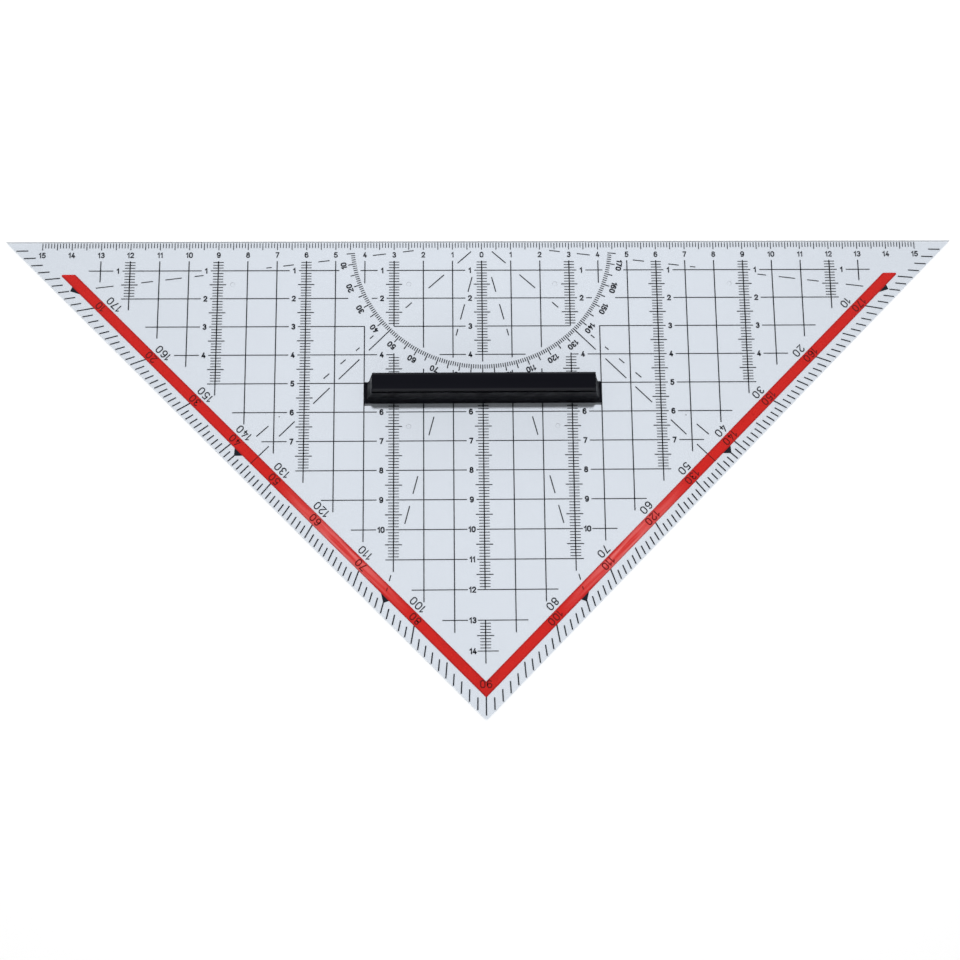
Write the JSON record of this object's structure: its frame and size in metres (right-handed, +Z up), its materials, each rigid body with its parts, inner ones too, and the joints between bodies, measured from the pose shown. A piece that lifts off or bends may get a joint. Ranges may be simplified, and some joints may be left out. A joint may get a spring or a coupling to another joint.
{
  "type": "set square",
  "caption": "Clear 45 degree drafting set square with centimetre and degree scales, red borders and a black lift-off grip bar.",
  "frame": {"origin": "centre of the set square's footprint, on the surface that its stand-off nubs rest on; the scale's zero mark is straight above x = 0 on the hypotenuse edge", "axes": "+X along the hypotenuse (ruling edge), towards the side of the protractor numbered 170 to 100; +Y from the 90 degree apex to the hypotenuse, square to it; +Z up, out of the plate through the grip"},
  "size_m": [0.3244, 0.1618, 0.0167],
  "materials": {
    "clear_acrylic": "polished clear acrylic with a faint blue tint",
    "black_plastic": "satin injection-moulded black plastic",
    "red_ink": "glossy printed red film",
    "black_ink": "printed black film"
  },
  "bodies": {
    "plate_body": {"plate": "clear_acrylic", "red_border": "red_ink", "angle_arrows": "black_ink"},
    "grip_body": {"grip": "black_plastic"}
  },
  "joints": [
    {"name": "grip_lift", "type": "slide", "parent": "plate_body", "child": "grip_body", "axis": [0, 0, 1], "range_m": [0, 0.03]}
  ]
}
